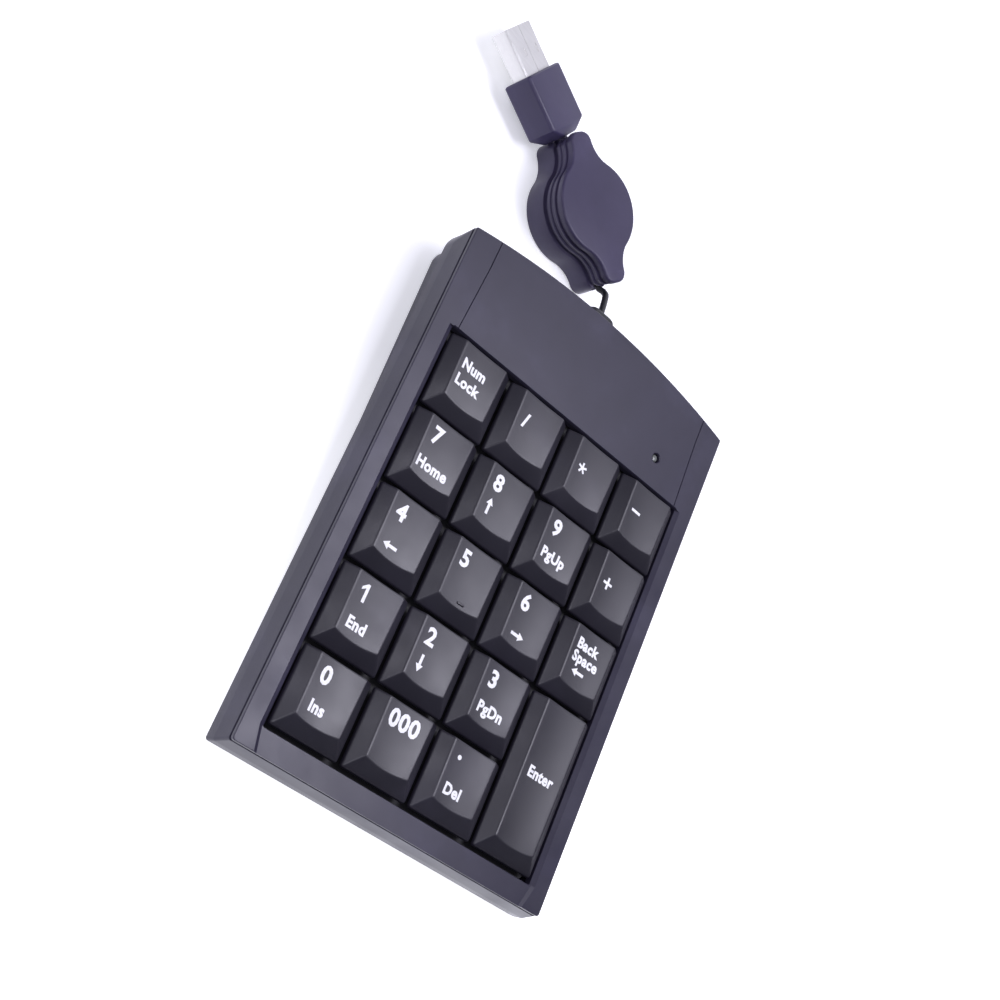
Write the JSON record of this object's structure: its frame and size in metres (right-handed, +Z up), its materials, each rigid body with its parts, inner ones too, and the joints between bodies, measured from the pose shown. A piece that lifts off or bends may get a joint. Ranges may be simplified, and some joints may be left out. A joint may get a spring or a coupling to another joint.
{
  "type": "numeric keypad",
  "caption": "Low wedge-shaped numeric keypad with low-profile keys, a plain panel behind them, and a USB plug on a short cord wound into a small round reel.",
  "frame": {"origin": "centre of the keypad's own footprint on the surface it stands on, leaving out the cord, reel and plug", "axes": "+Y to the rear, where the cord leaves; +Z up; +X to the user's right"},
  "size_m": [0.0988, 0.1892, 0.0175],
  "materials": {
    "housing": "satin",
    "keycap": "satin",
    "inner": "matt",
    "rubber": "matt",
    "silicone": "matt",
    "film": "glossy",
    "board": "satin",
    "steel": "satin",
    "gold": "polished",
    "white": "satin",
    "led": "glossy"
  },
  "bodies": {
    "case": {"top_cover": "housing", "bottom_case": "housing", "key_frame": "inner", "dome_sheet": "silicone", "membrane_top": "film", "membrane_spacer": "film", "membrane_bottom": "film", "controller_pcb": "board", "controller_chip": "inner", "cable_header": "white", "membrane_clamp_bar": "inner", "num_lock_led": "led", "case_screw_front_left": "steel", "case_screw_front_right": "steel", "case_screw_rear_left": "steel", "case_screw_rear_right": "steel", "clamp_screw_left": "steel", "clamp_screw_right": "steel", "foot_front_left": "rubber", "foot_front_right": "rubber", "foot_rear_left": "rubber", "foot_rear_right": "rubber", "cable_gland": "rubber", "keypad_cord": "rubber", "reel_upper_shell": "housing", "reel_lower_shell": "housing", "reel_axle": "steel", "reel_spring": "steel"},
    "key_num_lock": {"key_num_lock": "keycap"},
    "key_divide": {"key_divide": "keycap"},
    "key_multiply": {"key_multiply": "keycap"},
    "key_minus": {"key_minus": "keycap"},
    "key_7": {"key_7": "keycap"},
    "key_8": {"key_8": "keycap"},
    "key_9": {"key_9": "keycap"},
    "key_plus": {"key_plus": "keycap"},
    "key_4": {"key_4": "keycap"},
    "key_5": {"key_5": "keycap"},
    "key_6": {"key_6": "keycap"},
    "key_backspace": {"key_backspace": "keycap"},
    "key_1": {"key_1": "keycap"},
    "key_2": {"key_2": "keycap"},
    "key_3": {"key_3": "keycap"},
    "key_enter": {"key_enter": "keycap"},
    "key_0": {"key_0": "keycap"},
    "key_000": {"key_000": "keycap"},
    "key_decimal": {"key_decimal": "keycap"},
    "stabiliser": {"enter_stabiliser": "steel"},
    "spool": {"reel_spool": "inner", "reel_cord_coil": "rubber"},
    "plug": {"plug_overmould": "housing", "plug_shell": "steel", "plug_tongue": "inner", "plug_contact_1": "gold", "plug_contact_2": "gold", "plug_contact_3": "gold", "plug_contact_4": "gold", "plug_cord": "rubber"}
  },
  "joints": [
    {"name": "press_num_lock", "type": "slide", "parent": "case", "child": "key_num_lock", "axis": [0, 0.0576, -0.9983], "range_m": [0, 0.002], "stiffness_N_per_m": 150, "springref_m": -0.002, "deforming": ["dome_sheet"]},
    {"name": "press_divide", "type": "slide", "parent": "case", "child": "key_divide", "axis": [0, 0.0576, -0.9983], "range_m": [0, 0.002], "stiffness_N_per_m": 150, "springref_m": -0.002, "deforming": ["dome_sheet"]},
    {"name": "press_multiply", "type": "slide", "parent": "case", "child": "key_multiply", "axis": [0, 0.0576, -0.9983], "range_m": [0, 0.002], "stiffness_N_per_m": 150, "springref_m": -0.002, "deforming": ["dome_sheet"]},
    {"name": "press_minus", "type": "slide", "parent": "case", "child": "key_minus", "axis": [0, 0.0576, -0.9983], "range_m": [0, 0.002], "stiffness_N_per_m": 150, "springref_m": -0.002, "deforming": ["dome_sheet"]},
    {"name": "press_7", "type": "slide", "parent": "case", "child": "key_7", "axis": [0, 0.0576, -0.9983], "range_m": [0, 0.002], "stiffness_N_per_m": 150, "springref_m": -0.002, "deforming": ["dome_sheet"]},
    {"name": "press_8", "type": "slide", "parent": "case", "child": "key_8", "axis": [0, 0.0576, -0.9983], "range_m": [0, 0.002], "stiffness_N_per_m": 150, "springref_m": -0.002, "deforming": ["dome_sheet"]},
    {"name": "press_9", "type": "slide", "parent": "case", "child": "key_9", "axis": [0, 0.0576, -0.9983], "range_m": [0, 0.002], "stiffness_N_per_m": 150, "springref_m": -0.002, "deforming": ["dome_sheet"]},
    {"name": "press_plus", "type": "slide", "parent": "case", "child": "key_plus", "axis": [0, 0.0576, -0.9983], "range_m": [0, 0.002], "stiffness_N_per_m": 150, "springref_m": -0.002, "deforming": ["dome_sheet"]},
    {"name": "press_4", "type": "slide", "parent": "case", "child": "key_4", "axis": [0, 0.0576, -0.9983], "range_m": [0, 0.002], "stiffness_N_per_m": 150, "springref_m": -0.002, "deforming": ["dome_sheet"]},
    {"name": "press_5", "type": "slide", "parent": "case", "child": "key_5", "axis": [0, 0.0576, -0.9983], "range_m": [0, 0.002], "stiffness_N_per_m": 150, "springref_m": -0.002, "deforming": ["dome_sheet"]},
    {"name": "press_6", "type": "slide", "parent": "case", "child": "key_6", "axis": [0, 0.0576, -0.9983], "range_m": [0, 0.002], "stiffness_N_per_m": 150, "springref_m": -0.002, "deforming": ["dome_sheet"]},
    {"name": "press_backspace", "type": "slide", "parent": "case", "child": "key_backspace", "axis": [0, 0.0576, -0.9983], "range_m": [0, 0.002], "stiffness_N_per_m": 150, "springref_m": -0.002, "deforming": ["dome_sheet"]},
    {"name": "press_1", "type": "slide", "parent": "case", "child": "key_1", "axis": [0, 0.0576, -0.9983], "range_m": [0, 0.002], "stiffness_N_per_m": 150, "springref_m": -0.002, "deforming": ["dome_sheet"]},
    {"name": "press_2", "type": "slide", "parent": "case", "child": "key_2", "axis": [0, 0.0576, -0.9983], "range_m": [0, 0.002], "stiffness_N_per_m": 150, "springref_m": -0.002, "deforming": ["dome_sheet"]},
    {"name": "press_3", "type": "slide", "parent": "case", "child": "key_3", "axis": [0, 0.0576, -0.9983], "range_m": [0, 0.002], "stiffness_N_per_m": 150, "springref_m": -0.002, "deforming": ["dome_sheet"]},
    {"name": "press_enter", "type": "slide", "parent": "case", "child": "key_enter", "axis": [0, 0.0576, -0.9983], "range_m": [0, 0.002], "stiffness_N_per_m": 150, "springref_m": -0.002, "deforming": ["dome_sheet"]},
    {"name": "press_0", "type": "slide", "parent": "case", "child": "key_0", "axis": [0, 0.0576, -0.9983], "range_m": [0, 0.002], "stiffness_N_per_m": 150, "springref_m": -0.002, "deforming": ["dome_sheet"]},
    {"name": "press_000", "type": "slide", "parent": "case", "child": "key_000", "axis": [0, 0.0576, -0.9983], "range_m": [0, 0.002], "stiffness_N_per_m": 150, "springref_m": -0.002, "deforming": ["dome_sheet"]},
    {"name": "press_decimal", "type": "slide", "parent": "case", "child": "key_decimal", "axis": [0, 0.0576, -0.9983], "range_m": [0, 0.002], "stiffness_N_per_m": 150, "springref_m": -0.002, "deforming": ["dome_sheet"]},
    {"name": "stabiliser_turn", "type": "hinge", "parent": "case", "child": "stabiliser", "pos_m": [0.02247, -0.03997, 0.00856], "axis": [0, 0.9983, 0.0576], "range_deg": [0, 12.6]},
    {"name": "plug_pull", "type": "slide", "parent": "case", "child": "plug", "axis": [-0.8686, 0.4955, 0], "range_m": [0, 0.35]},
    {"name": "spool_spin", "type": "hinge", "parent": "case", "child": "spool", "pos_m": [-0.0133, 0.0911, 0.0054], "axis": [0, 0, 1], "range_deg": [0, 2960]}
  ],
  "couplings": [
    {"joint": "stabiliser_turn", "follows": "press_enter", "rad_per_m": 108.8},
    {"joint": "spool_spin", "follows": "plug_pull", "rad_per_m": 147}
  ]
}
